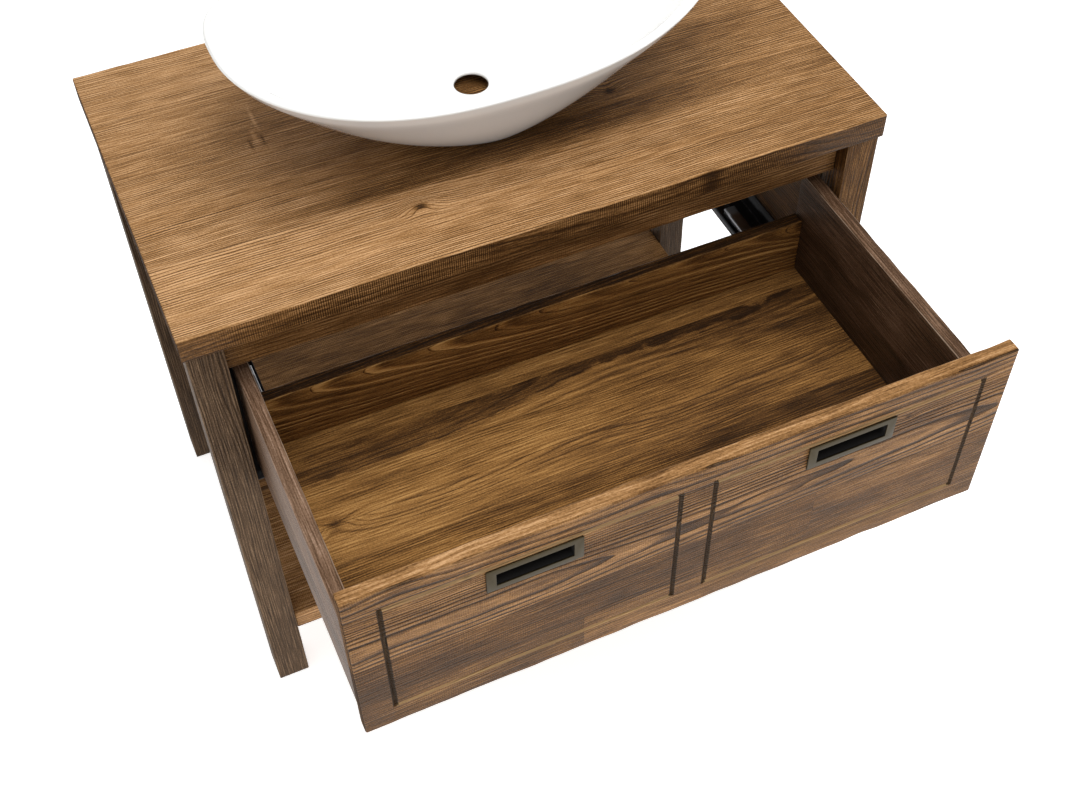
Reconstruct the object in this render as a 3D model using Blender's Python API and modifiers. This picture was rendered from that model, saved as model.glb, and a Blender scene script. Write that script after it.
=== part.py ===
"""Washstand in stained pine with one wide drawer, a lower shelf and a vessel basin.

Row frame, in metres: +X to the right, +Y to the wall, +Z up. The origin is on the floor,
in the middle of the bounding box with the drawer pulled out as modelled.
"""

import math

import bmesh
import bpy
from mathutils import Matrix, Vector

# ---------------------------------------------------------------- driving dimensions
GAP = 0.0003                      # left between touching pieces

WORKTOP_WIDTH = 0.900
WORKTOP_DEPTH = 0.500
WORKTOP_THICKNESS = 0.034
WORKTOP_TOP = 0.744               # height of the work surface

LEG = 0.044                       # square section
LEG_SET_IN = 0.004                # worktop edge to leg face, at the ends
LEG_SET_BACK = 0.003              # worktop edge to leg face, front and rear
RAIL_HEIGHT = 0.056
RAIL_THICKNESS = 0.020
RAIL_BEHIND_FRONT = 0.0025        # air between the shut drawer front and the front rail
APRON_THICKNESS = 0.020
APRON_BOTTOM = 0.432
SHELF_TOP = 0.144
SHELF_THICKNESS = 0.036
SHELF_SET_BACK = 0.008
BOARD_EASE = 0.0012               # chamfer on the edges of the boards

DRAWER_OPEN = 0.364               # travel from shut to the modelled position
FRONT_WIDTH = 0.792
FRONT_BOTTOM = 0.4415
FRONT_TOP = 0.704
FRONT_THICKNESS = 0.018
FRONT_EASE = 0.0015
BOX_SIDE = 0.018                  # thickness of the drawer's sides and back
BOX_INNER_WIDTH = 0.751
BOX_INNER_DEPTH = 0.377
BOX_SIDE_TOP = 0.634
BOX_SIDE_BOTTOM = 0.454
BOX_BACK_TOP = 0.565
BOX_FLOOR_TOP = 0.478
BOX_FLOOR_THICKNESS = 0.012

GROOVE_WIDTH = 0.006              # V-grooves that frame two panels
GROOVE_DEPTH = 0.003
PANEL_NEAR = 0.0205               # panel groove centre lines, from the middle of the front
PANEL_FAR = 0.3575
PANEL_BOTTOM = 0.4775
PANEL_TOP = 0.6715

PULL_CENTRE = 0.189               # each side of the middle
PULL_HEIGHT_Z = 0.6495
PULL_WIDTH = 0.110
PULL_TALL = 0.037
PULL_PROUD = 0.0025
PULL_MOUTH_WIDTH = 0.0875
PULL_MOUTH_TALL = 0.0205
PULL_POCKET_DEPTH = 0.0140        # behind the face of the front
PULL_WALL = 0.0012
PULL_PLATE = 0.0010               # the plate overlaps its cup by this much
CUT_BEYOND = 0.005                # how far a cutter stands out of the face it opens

SLIDE_LENGTH = 0.400
SHEET = 0.0015                    # steel of the slides
SLIDE_BASE = 0.437                # underside of the cabinet member
SLIDE_LIP_X = 0.3505
SLIDE_LIP_TALL = 0.014
SLIDE_FLANGE_TOP = 0.472
SLIDE_BEAD_X = 0.377              # a stiffening bead pressed along the cabinet member
SLIDE_BEAD_TALL = 0.003
SLIDE_SCREWS = (("front", 0.045), ("middle", 0.200), ("rear", 0.365))
SLIDE_SCREW_DOWN = 0.010          # from the flange's upper edge
SLIDE_SCREW_LENGTH = 0.014
MIDDLE_LENGTH = 0.345
MIDDLE_BEHIND = 0.004             # shut, from the cabinet member's front end
MIDDLE_FROM_LIP = 0.0040
MIDDLE_WIDTH = 0.016
MIDDLE_OVER_BASE = 0.0045
MIDDLE_UNDER_DRAWER = 0.0055
CAGE_LENGTH = 0.220
CAGE_BEHIND = 0.030
CAGE_SIDE_ROOM = 0.003
CAGE_OVER_BASE = 0.0006
UPPER_SIDE_ROOM = 0.0026          # drawer member outside the middle member
UPPER_TALL = 0.010
UPPER_ENDS = (0.003, 0.002)       # from the drawer front and from the rear of the drawer
CLIP_WIDTH = 0.0285
CLIP_LENGTH = 0.061
CLIP_OVER_BASE = 0.012
CLIP_FROM_LIP = 0.0015

SCREW_HEAD = 0.0035
SCREW_SHANK = 0.0018
SCREW_ROOM = 0.0004               # round the shank
SCREW_SIDES = 12
BRACKET_ARM = 0.028
BRACKET_WIDTH = 0.020
BRACKET_HOLE = 0.68               # share of the arm from the fold to its screw
BRACKET_FROM_END = 0.090          # from the frame's front and rear faces
BRACKET_SCREWS = {"side": 0.015, "top": 0.018}

BASIN_HALF_LENGTH = 0.309
BASIN_HALF_WIDTH = 0.176
BASIN_HEIGHT = 0.130              # at the middle of the long sides
BASIN_END_RISE = 0.038            # how much higher the rim is at the two ends
BASIN_RIM_POWER = 2.42            # super-ellipse exponent of the rim
BASIN_FOOT_LENGTH = 0.080         # half length of the flat foot
BASIN_FOOT_WIDTH = 0.095          # half width of the flat foot
BASIN_RIM_THICKNESS = 0.009
BASIN_FLOOR = 0.019               # height of the bowl's floor at the waste hole
BASIN_HOLLOW = 0.0135             # height of the hollow under the floor, inside the foot
BASIN_HOLLOW_RADIUS = 0.058
BASIN_HOLLOW_DRAFT = 0.004        # how much wider the hollow is at its mouth
BASIN_HOLE = 0.0215               # radius
BASIN_BEHIND_MIDDLE = 0.003
BASIN_SEGMENTS = 56

# ---------------------------------------------------------------- derived places
DEPTH_SPAN = PULL_PROUD + DRAWER_OPEN - LEG_SET_BACK + WORKTOP_DEPTH
BACK_Y = DEPTH_SPAN / 2                                   # rear edge of the worktop
EDGE_Y = BACK_Y - WORKTOP_DEPTH                           # front edge of the worktop
UNDERSIDE = WORKTOP_TOP - WORKTOP_THICKNESS
LEG_FRONT_Y = EDGE_Y + LEG_SET_BACK
LEG_REAR_Y = BACK_Y - LEG_SET_BACK
LEG_OUTER_X = WORKTOP_WIDTH / 2 - LEG_SET_IN
LEG_INNER_X = LEG_OUTER_X - LEG
FRAME_TOP = UNDERSIDE - GAP
FRONT_FACE_Y = LEG_FRONT_Y - DRAWER_OPEN
FRONT_BACK_Y = FRONT_FACE_Y + FRONT_THICKNESS
BOX_BACK_INNER_Y = FRONT_BACK_Y + BOX_INNER_DEPTH
BOX_BACK_OUTER_Y = BOX_BACK_INNER_Y + BOX_SIDE
BOX_INNER_X = BOX_INNER_WIDTH / 2
BOX_OUTER_X = BOX_INNER_X + BOX_SIDE
BOX_UNDERSIDE = BOX_FLOOR_TOP - BOX_FLOOR_THICKNESS
SLIDE_FRONT_Y = LEG_FRONT_Y + FRONT_THICKNESS + 0.005
SIDES = (("left", -1), ("right", 1))

# Colours are linear RGB.
PINE = (0.215, 0.105, 0.045)
PINE_DARK = (0.085, 0.040, 0.018)
PINE_DRAWER = (0.200, 0.095, 0.036)


# ---------------------------------------------------------------- scene and materials
def clear_scene():
    for obj in list(bpy.data.objects):
        bpy.data.objects.remove(obj, do_unlink=True)


def make_collection(name):
    collection = bpy.data.collections.new(name)
    bpy.context.scene.collection.children.link(collection)
    return collection


def make_material(name, colour, roughness, metallic=0.0):
    material = bpy.data.materials.new(name)
    material.use_nodes = True
    shader = material.node_tree.nodes["Principled BSDF"]
    shader.inputs["Base Color"].default_value = (*colour, 1.0)
    shader.inputs["Roughness"].default_value = roughness
    shader.inputs["Metallic"].default_value = metallic
    return material


def put_in(obj, collection):
    for other in list(obj.users_collection):
        other.objects.unlink(obj)
    collection.objects.link(obj)


def finish_part(obj, look):
    """Give a part its own copy of a look and put it with the parts."""
    colour, roughness, metallic = look
    obj.data.materials.clear()
    obj.data.materials.append(make_material(obj.name, colour, roughness, metallic))
    put_in(obj, PARTS)
    return obj


def finish_cutter(obj):
    obj.hide_render = True
    obj.display_type = "WIRE"
    put_in(obj, CUTTERS)
    return obj


# ---------------------------------------------------------------- shapes
def box_object(name, low, high):
    """A box from its lowest to its highest corner, with its origin at its centre."""
    low = Vector(low)
    high = Vector(high)
    bpy.ops.mesh.primitive_cube_add(size=1.0, location=(low + high) / 2)
    obj = bpy.context.object
    obj.name = name
    obj.data.name = name
    obj.data.transform(Matrix.Diagonal((*(high - low), 1.0)))
    return obj


def ease_edges(obj, width, segments=1):
    bevel = obj.modifiers.new("eased_edges", "BEVEL")
    bevel.width = width
    bevel.segments = segments
    bevel.limit_method = "ANGLE"
    return bevel


def board(name, low, high, look, ease=BOARD_EASE):
    obj = box_object(name, low, high)
    ease_edges(obj, ease)
    return finish_part(obj, look)


def combine(obj, tool, operation="DIFFERENCE"):
    boolean = obj.modifiers.new(tool.name, "BOOLEAN")
    boolean.operation = operation
    boolean.solver = "EXACT"
    boolean.object = tool


def hole_cutter(name, radius, start, end):
    """A round cutter from one point to another."""
    start = Vector(start)
    end = Vector(end)
    bpy.ops.mesh.primitive_cylinder_add(vertices=SCREW_SIDES, radius=radius, depth=(end - start).length,
                                        location=(start + end) / 2)
    obj = bpy.context.object
    obj.name = name
    obj.rotation_euler = (end - start).to_track_quat("Z", "Y").to_euler()
    return finish_cutter(obj)


def framed_groove(name, x_low, x_high, z_low, z_high, face_y):
    """A cutter for a mitred V-groove along a rectangle: a loft between rectangular rings."""
    half = GROOVE_WIDTH / 2
    sections = ((half, face_y), (0.0, face_y + GROOVE_DEPTH), (-half, face_y), (0.0, face_y - CUT_BEYOND))
    mesh = bpy.data.meshes.new(name)
    shell = bmesh.new()
    rings = []
    for grow, y in sections:
        corners = ((x_low - grow, z_low - grow), (x_high + grow, z_low - grow),
                   (x_high + grow, z_high + grow), (x_low - grow, z_high + grow))
        rings.append([shell.verts.new((x, y, z)) for x, z in corners])
    for ring, following in zip(rings, rings[1:] + rings[:1]):
        for i in range(4):
            k = (i + 1) % 4
            shell.faces.new((ring[i], ring[k], following[k], following[i]))
    bmesh.ops.recalc_face_normals(shell, faces=shell.faces)
    shell.to_mesh(mesh)
    shell.free()
    obj = bpy.data.objects.new(name, mesh)
    bpy.context.scene.collection.objects.link(obj)
    return finish_cutter(obj)


def bent_sheet(name, profile, y_low, y_high, look):
    """Sheet steel folded along a profile of (x, z) points and run from y_low to y_high."""
    mesh = bpy.data.meshes.new(name)
    surface = bmesh.new()
    rows = [[surface.verts.new((x, y, z)) for x, z in profile] for y in (y_low, y_high)]
    for i in range(len(profile) - 1):
        surface.faces.new((rows[0][i], rows[0][i + 1], rows[1][i + 1], rows[1][i]))
    surface.to_mesh(mesh)
    surface.free()
    obj = bpy.data.objects.new(name, mesh)
    bpy.context.scene.collection.objects.link(obj)
    thickness = obj.modifiers.new("sheet", "SOLIDIFY")
    thickness.thickness = SHEET
    thickness.offset = 0.0
    thickness.use_even_offset = True
    return finish_part(obj, look)


def pan_screw(name, seat, outward, length, look):
    """A pan-head screw: its head sits at seat and faces outward, its shank goes in."""
    head = SCREW_HEAD
    tall = head * 0.55
    profile = [(0.0, tall), (head * 0.62, tall * 0.95), (head * 0.92, tall * 0.55), (head, 0.0),
               (SCREW_SHANK, 0.0), (SCREW_SHANK, -length * 0.8), (0.0, -length)]
    mesh = bpy.data.meshes.new(name)
    lines = [(i, i + 1) for i in range(len(profile) - 1)]
    mesh.from_pydata([(x, 0.0, z) for x, z in profile], lines, [])
    obj = bpy.data.objects.new(name, mesh)
    bpy.context.scene.collection.objects.link(obj)
    turn = obj.modifiers.new("turned", "SCREW")
    turn.axis = "Z"
    turn.steps = SCREW_SIDES
    turn.render_steps = SCREW_SIDES
    turn.use_merge_vertices = True
    turn.merge_threshold = 0.0001
    turn.use_smooth_shade = True
    obj.location = seat
    obj.rotation_euler = Vector(outward).to_track_quat("Z", "Y").to_euler()
    return finish_part(obj, look)


def drive_screw(name, seat, outward, length, pieces, look):
    """A screw and the clearance hole for its shank in each piece that it passes."""
    outward = Vector(outward)
    seat = Vector(seat)
    pan_screw(name, seat + outward * GAP, outward, length, look)
    hole = hole_cutter(name + "_hole", SCREW_SHANK + SCREW_ROOM, seat + outward * GAP * 4,
                       seat - outward * (length + GAP * 6))
    for piece in pieces:
        combine(piece, hole)


# ---------------------------------------------------------------- frame
def make_worktop():
    low = (-WORKTOP_WIDTH / 2, EDGE_Y, UNDERSIDE)
    high = (WORKTOP_WIDTH / 2, BACK_Y, WORKTOP_TOP)
    return board("worktop", low, high, STAINED, ease=FRONT_EASE)


def make_legs():
    rows = (("front", LEG_FRONT_Y, LEG_FRONT_Y + LEG), ("rear", LEG_REAR_Y - LEG, LEG_REAR_Y))
    for row, y_low, y_high in rows:
        for side, sign in SIDES:
            x_low, x_high = sorted((sign * LEG_INNER_X, sign * LEG_OUTER_X))
            board(f"leg_{row}_{side}", (x_low, y_low, 0.0), (x_high, y_high, FRAME_TOP), STAINED)


def make_rails():
    reach = LEG_INNER_X - GAP
    low_z = UNDERSIDE - RAIL_HEIGHT
    front_y = LEG_FRONT_Y + FRONT_THICKNESS + RAIL_BEHIND_FRONT
    board("front_rail", (-reach, front_y, low_z), (reach, front_y + RAIL_THICKNESS, FRAME_TOP), STAINED)
    rear_y = LEG_REAR_Y - LEG / 2
    board("rear_rail", (-reach, rear_y, low_z), (reach, rear_y + RAIL_THICKNESS, FRAME_TOP), STAINED)


def make_aprons():
    """Side boards between the legs, flush with their inner faces, which carry the slides."""
    aprons = {}
    for side, sign in SIDES:
        x_low, x_high = sorted((sign * LEG_INNER_X, sign * (LEG_INNER_X + APRON_THICKNESS)))
        low = (x_low, LEG_FRONT_Y + LEG + GAP, APRON_BOTTOM)
        high = (x_high, LEG_REAR_Y - LEG - GAP, FRAME_TOP)
        aprons[side] = board(f"side_apron_{side}", low, high, STAINED)
    return aprons


def make_shelf():
    reach = LEG_INNER_X - GAP
    low = (-reach, EDGE_Y + SHELF_SET_BACK, SHELF_TOP - SHELF_THICKNESS)
    board("shelf", low, (reach, BACK_Y - SHELF_SET_BACK, SHELF_TOP), STAINED)


def make_worktop_brackets(worktop, aprons):
    """Four angle brackets that hold the worktop to the side aprons."""
    arm = BRACKET_ARM
    wall_x = LEG_INNER_X - GAP - SHEET / 2
    top_z = FRAME_TOP - SHEET / 2
    for side, sign in SIDES:
        for row, y in (("front", LEG_FRONT_Y + BRACKET_FROM_END),
                       ("rear", LEG_REAR_Y - BRACKET_FROM_END)):
            name = f"worktop_bracket_{row}_{side}"
            profile = [(sign * wall_x, top_z - arm), (sign * wall_x, top_z), (sign * (wall_x - arm), top_z)]
            bracket = bent_sheet(name, profile, y - BRACKET_WIDTH / 2, y + BRACKET_WIDTH / 2, ZINC)
            hole = arm * BRACKET_HOLE
            side_seat = (sign * (wall_x - SHEET / 2), y, top_z - hole)
            drive_screw(f"{name}_side_screw", side_seat, (-sign, 0, 0), BRACKET_SCREWS["side"],
                        (bracket, aprons[side]), ZINC)
            top_seat = (sign * (wall_x - hole), y, top_z - SHEET / 2)
            drive_screw(f"{name}_top_screw", top_seat, (0, 0, -1), BRACKET_SCREWS["top"],
                        (bracket, worktop), ZINC)


# ---------------------------------------------------------------- drawer
def make_drawer_front():
    low = (-FRONT_WIDTH / 2, FRONT_FACE_Y, FRONT_BOTTOM)
    high = (FRONT_WIDTH / 2, FRONT_BACK_Y, FRONT_TOP)
    front = board("drawer_front", low, high, STAINED, ease=FRONT_EASE)
    for side, sign in SIDES:
        x_low, x_high = sorted((sign * PANEL_NEAR, sign * PANEL_FAR))
        combine(front, framed_groove(f"panel_groove_{side}", x_low, x_high, PANEL_BOTTOM, PANEL_TOP,
                                     FRONT_FACE_Y))
        room = PULL_WALL + GAP
        reach_x = PULL_MOUTH_WIDTH / 2 + room
        reach_z = PULL_MOUTH_TALL / 2 + room
        low = (sign * PULL_CENTRE - reach_x, FRONT_FACE_Y - CUT_BEYOND, PULL_HEIGHT_Z - reach_z)
        high = (sign * PULL_CENTRE + reach_x, FRONT_FACE_Y + PULL_POCKET_DEPTH + room,
                PULL_HEIGHT_Z + reach_z)
        combine(front, finish_cutter(box_object(f"pull_recess_{side}", low, high)))
    return front


def make_drawer_box():
    for side, sign in SIDES:
        x_low, x_high = sorted((sign * BOX_INNER_X, sign * BOX_OUTER_X))
        board(f"drawer_side_{side}", (x_low, FRONT_BACK_Y + GAP, BOX_SIDE_BOTTOM),
              (x_high, BOX_BACK_OUTER_Y, BOX_SIDE_TOP), DRAWER_WOOD)
    reach = BOX_INNER_X - GAP
    board("drawer_back", (-reach, BOX_BACK_INNER_Y, BOX_FLOOR_TOP + GAP),
          (reach, BOX_BACK_OUTER_Y, BOX_BACK_TOP), DRAWER_WOOD)
    board("drawer_bottom", (-reach, FRONT_BACK_Y + GAP, BOX_UNDERSIDE),
          (reach, BOX_BACK_OUTER_Y, BOX_FLOOR_TOP), DRAWER_WOOD, ease=0.0005)


def make_pulls():
    """Flush pulls: a face plate with a pressed cup behind its mouth."""
    for side, sign in SIDES:
        x = sign * PULL_CENTRE
        z = PULL_HEIGHT_Z
        face_y = FRONT_FACE_Y - PULL_PROUD
        low = (x - PULL_WIDTH / 2, face_y, z - PULL_TALL / 2)
        high = (x + PULL_WIDTH / 2, FRONT_FACE_Y - GAP, z + PULL_TALL / 2)
        plate = box_object(f"pull_{side}", low, high)
        ease_edges(plate, 0.0008)
        wide = PULL_MOUTH_WIDTH / 2
        tall = PULL_MOUTH_TALL / 2
        cup_low = (x - wide - PULL_WALL, face_y + PULL_PLATE, z - tall - PULL_WALL)
        cup_high = (x + wide + PULL_WALL, FRONT_FACE_Y + PULL_POCKET_DEPTH, z + tall + PULL_WALL)
        combine(plate, finish_cutter(box_object(f"pull_cup_{side}", cup_low, cup_high)), "UNION")
        mouth_low = (x - wide, face_y - CUT_BEYOND, z - tall)
        mouth_high = (x + wide, FRONT_FACE_Y + PULL_POCKET_DEPTH - PULL_WALL, z + tall)
        combine(plate, finish_cutter(box_object(f"pull_mouth_{side}", mouth_low, mouth_high)))
        finish_part(plate, PEWTER)


# ---------------------------------------------------------------- slides
def make_slides(aprons):
    """Full-extension slides under the drawer: fixed, middle and drawer member on each side."""
    half = SHEET / 2
    middle_shift = DRAWER_OPEN / 2
    for side, sign in SIDES:
        wall_x = LEG_INNER_X - GAP - half
        lip_x = SLIDE_LIP_X + half
        base_z = SLIDE_BASE + half
        bead_z = base_z + SLIDE_BEAD_TALL
        fixed = [(wall_x, SLIDE_FLANGE_TOP), (wall_x, base_z), (SLIDE_BEAD_X + 0.0030, base_z),
                 (SLIDE_BEAD_X + 0.0015, bead_z), (SLIDE_BEAD_X - 0.0015, bead_z),
                 (SLIDE_BEAD_X - 0.0030, base_z), (lip_x, base_z), (lip_x, base_z + SLIDE_LIP_TALL)]
        y_low = SLIDE_FRONT_Y
        member = bent_sheet(f"slide_{side}_cabinet_member", [(sign * x, z) for x, z in fixed],
                            y_low, y_low + SLIDE_LENGTH, BLACK_STEEL)
        for place, along in SLIDE_SCREWS:
            seat = (sign * (wall_x - half), y_low + along, SLIDE_FLANGE_TOP - SLIDE_SCREW_DOWN)
            drive_screw(f"slide_{side}_screw_{place}", seat, (-sign, 0, 0), SLIDE_SCREW_LENGTH,
                        (member, aprons[side]), ZINC)

        near_x = lip_x + MIDDLE_FROM_LIP
        far_x = near_x + MIDDLE_WIDTH
        roof = BOX_UNDERSIDE - MIDDLE_UNDER_DRAWER
        hem = SLIDE_BASE + MIDDLE_OVER_BASE
        middle = [(near_x, hem), (near_x, roof), (far_x, roof), (far_x, hem)]
        y_low = SLIDE_FRONT_Y + MIDDLE_BEHIND - middle_shift
        bent_sheet(f"slide_{side}_middle_member", [(sign * x, z) for x, z in middle],
                   y_low, y_low + MIDDLE_LENGTH, BLACK_STEEL)

        cage_low, cage_high = sorted((sign * (near_x + CAGE_SIDE_ROOM), sign * (far_x - CAGE_SIDE_ROOM)))
        y_low = SLIDE_FRONT_Y + CAGE_BEHIND - middle_shift / 2
        board(f"slide_{side}_roller_cage", (cage_low, y_low, SLIDE_BASE + SHEET + CAGE_OVER_BASE),
              (cage_high, y_low + CAGE_LENGTH, roof - SHEET), NYLON, ease=0.0010)

        hat_z = BOX_UNDERSIDE - GAP - half
        near_x = near_x - UPPER_SIDE_ROOM
        far_x = far_x + UPPER_SIDE_ROOM
        hem = hat_z - UPPER_TALL
        upper = [(near_x, hem), (near_x, hat_z), (far_x, hat_z), (far_x, hem)]
        bent_sheet(f"slide_{side}_drawer_member", [(sign * x, z) for x, z in upper],
                   FRONT_BACK_Y + UPPER_ENDS[0], BOX_BACK_OUTER_Y - UPPER_ENDS[1], BLACK_STEEL)

        clip_x = SLIDE_LIP_X - CLIP_FROM_LIP
        clip_low, clip_high = sorted((sign * (clip_x - CLIP_WIDTH), sign * clip_x))
        clip_y = FRONT_BACK_Y + GAP * 4
        board(f"slide_{side}_locking_clip", (clip_low, clip_y, SLIDE_BASE + CLIP_OVER_BASE),
              (clip_high, clip_y + CLIP_LENGTH, BOX_UNDERSIDE - GAP), NYLON, ease=FRONT_EASE)


# ---------------------------------------------------------------- basin
def basin_ring(half_length, half_width, power, height_at, segments):
    """Points of one super-ellipse ring; height_at gives z from the share of the length axis."""
    points = []
    for i in range(segments):
        angle = 2 * math.pi * i / segments
        c = math.cos(angle)
        s = math.sin(angle)
        x = half_length * math.copysign(abs(c) ** (2 / power), c)
        y = half_width * math.copysign(abs(s) ** (2 / power), s)
        points.append((x, y, height_at(c * c)))
    return points


def basin_rings():
    """Rings up the outside, over the rim, down the bowl and its hole, and under the floor."""
    def rim_height(end_share):
        return BASIN_HEIGHT + BASIN_END_RISE * end_share

    def outside(t):
        upright = 0.86 * t ** 6 * (1 - t)         # turns the wall upright just below the rim
        along = t ** 0.52 * (1 + 0.6 * upright)
        across = t ** 0.86 * (1 + upright)
        length = BASIN_FOOT_LENGTH + (BASIN_HALF_LENGTH - BASIN_FOOT_LENGTH) * along
        width = BASIN_FOOT_WIDTH + (BASIN_HALF_WIDTH - BASIN_FOOT_WIDTH) * across
        power = 2.0 + (BASIN_RIM_POWER - 2.0) * t
        return basin_ring(length, width, power, lambda e: rim_height(e) * t, BASIN_SEGMENTS)

    def inside(t):
        start = BASIN_HOLE + 0.004
        length = BASIN_HALF_LENGTH - BASIN_RIM_THICKNESS
        width = BASIN_HALF_WIDTH - BASIN_RIM_THICKNESS
        spread = t ** 0.45
        power = 2.0 + (BASIN_RIM_POWER - 2.0) * t
        return basin_ring(start + (length - start) * spread, start + (width - start) * spread, power,
                          lambda e: BASIN_FLOOR + (rim_height(e) - BASIN_FLOOR) * t, BASIN_SEGMENTS)

    rim_round = 0.0035
    rings = [outside(t) for t in (0.0, 0.02, 0.06, 0.13, 0.23, 0.36, 0.52, 0.68, 0.80, 0.89)]
    rings.append(basin_ring(BASIN_HALF_LENGTH, BASIN_HALF_WIDTH, BASIN_RIM_POWER,
                            lambda e: rim_height(e) - rim_round, BASIN_SEGMENTS))
    for inset in (rim_round, BASIN_RIM_THICKNESS - rim_round):
        rings.append(basin_ring(BASIN_HALF_LENGTH - inset, BASIN_HALF_WIDTH - inset, BASIN_RIM_POWER,
                                rim_height, BASIN_SEGMENTS))
    rings += [inside(t) for t in (0.93, 0.80, 0.62, 0.44, 0.29, 0.17, 0.08, 0.03, 0.006, 0.0)]
    for radius, z in ((BASIN_HOLE, BASIN_FLOOR - 0.002), (BASIN_HOLE, BASIN_HOLLOW),
                      (BASIN_HOLLOW_RADIUS, BASIN_HOLLOW), (BASIN_HOLLOW_RADIUS + BASIN_HOLLOW_DRAFT, 0.0)):
        rings.append(basin_ring(radius, radius, 2.0, lambda e, z=z: z, BASIN_SEGMENTS))
    return rings


def make_basin():
    """Vessel basin: a loft between unlike oval rings, closed round the waste hole."""
    mesh = bpy.data.meshes.new("basin")
    shell = bmesh.new()
    rows = [[shell.verts.new(point) for point in ring] for ring in basin_rings()]
    for j in range(len(rows)):
        lower = rows[j]
        upper = rows[(j + 1) % len(rows)]
        for i in range(BASIN_SEGMENTS):
            k = (i + 1) % BASIN_SEGMENTS
            shell.faces.new((lower[i], lower[k], upper[k], upper[i]))
    bmesh.ops.recalc_face_normals(shell, faces=shell.faces)
    shell.to_mesh(mesh)
    shell.free()
    mesh.shade_smooth()
    obj = bpy.data.objects.new("basin", mesh)
    bpy.context.scene.collection.objects.link(obj)
    middle_y = (EDGE_Y + BACK_Y) / 2 + BASIN_BEHIND_MIDDLE
    obj.location = (0.0, middle_y, WORKTOP_TOP + GAP)
    return finish_part(obj, GLAZE)


# ---------------------------------------------------------------- assembly
def parent_moving_parts():
    """The drawer and each slide stage hang on an empty at the joint's origin."""
    stages = {
        "drawer_joint": ("drawer_", "pull_", "slide_left_drawer", "slide_right_drawer",
                         "slide_left_locking", "slide_right_locking"),
        "left_middle_joint": ("slide_left_middle",),
        "right_middle_joint": ("slide_right_middle",),
        "left_cage_joint": ("slide_left_roller",),
        "right_cage_joint": ("slide_right_roller",),
    }
    for stage, starts in stages.items():
        empty = bpy.data.objects.new(stage, None)
        PARTS.objects.link(empty)
        empty.location = (0.0, LEG_FRONT_Y, SLIDE_BASE)
        bpy.context.view_layer.update()
        for obj in PARTS.objects:
            if obj.type == "MESH" and obj.name.startswith(starts):
                obj.parent = empty
                obj.matrix_parent_inverse = empty.matrix_world.inverted()


def build():
    worktop = make_worktop()
    make_legs()
    make_rails()
    aprons = make_aprons()
    make_shelf()
    make_worktop_brackets(worktop, aprons)
    make_drawer_front()
    make_drawer_box()
    make_pulls()
    make_slides(aprons)
    make_basin()
    parent_moving_parts()


# Looks: base colour, roughness, metallic.
STAINED = (PINE, 0.45, 0.0)
DRAWER_WOOD = (PINE_DRAWER, 0.45, 0.0)
PEWTER = ((0.17, 0.15, 0.12), 0.42, 1.0)
BLACK_STEEL = ((0.020, 0.020, 0.022), 0.35, 0.6)
ZINC = ((0.45, 0.45, 0.46), 0.38, 1.0)
NYLON = ((0.06, 0.06, 0.065), 0.55, 0.0)
GLAZE = ((0.86, 0.87, 0.86), 0.08, 0.0)

clear_scene()
PARTS = make_collection("washstand")
CUTTERS = make_collection("cutters")
build()
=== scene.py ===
"""Looks of the washstand: stained pine, glazed basin, pewter pulls and steel slides.

Every piece is made in the row frame, in metres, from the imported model's own boxes.
Wood is a solid texture: growth rings round a pith that wanders along each glued board.
"""

import math

import bmesh
import bpy
from mathutils import Matrix, Vector, noise


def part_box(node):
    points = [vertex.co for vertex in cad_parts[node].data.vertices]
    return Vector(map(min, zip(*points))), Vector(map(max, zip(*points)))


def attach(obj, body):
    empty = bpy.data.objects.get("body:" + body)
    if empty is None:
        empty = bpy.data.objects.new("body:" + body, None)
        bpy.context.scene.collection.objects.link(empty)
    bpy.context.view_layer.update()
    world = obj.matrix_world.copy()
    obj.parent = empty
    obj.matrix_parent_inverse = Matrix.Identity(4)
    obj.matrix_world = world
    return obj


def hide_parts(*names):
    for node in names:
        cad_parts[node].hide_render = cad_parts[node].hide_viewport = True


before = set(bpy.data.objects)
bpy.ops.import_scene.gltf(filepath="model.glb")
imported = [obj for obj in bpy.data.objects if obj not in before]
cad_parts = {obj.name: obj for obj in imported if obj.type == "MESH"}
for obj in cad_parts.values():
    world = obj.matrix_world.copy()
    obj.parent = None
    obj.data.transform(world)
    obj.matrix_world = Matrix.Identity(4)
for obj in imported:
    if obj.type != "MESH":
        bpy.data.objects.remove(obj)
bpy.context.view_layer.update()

# ---- places read from the frame
EDGE_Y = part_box("worktop")[0].y  # front edge of the worktop
FRONT_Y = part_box("drawer_front")[0].y  # face of the drawer front
BASIN_LOW, BASIN_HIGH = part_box("basin")
SIDES = (("left", -1), ("right", 1))

# ---- camera and light
CAMERA_PLACE = (-0.51, -1.192, 1.914)
CAMERA_RIGHT = Vector((0.9122, -0.4095, -0.0126))
CAMERA_BACK = Vector((-0.252, -0.5851, 0.7708))
CAMERA_LENS = 48.9
WORLD_STRENGTH = 0.48
TOP_LIGHT_POWER = 37.0
BACK_LIGHT_POWER = 7.0
FRONT_LIGHT_POWER = 16.0
FLOOR_GLOW = 0.7  # a lit studio floor, so that it stays nearly white

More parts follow.
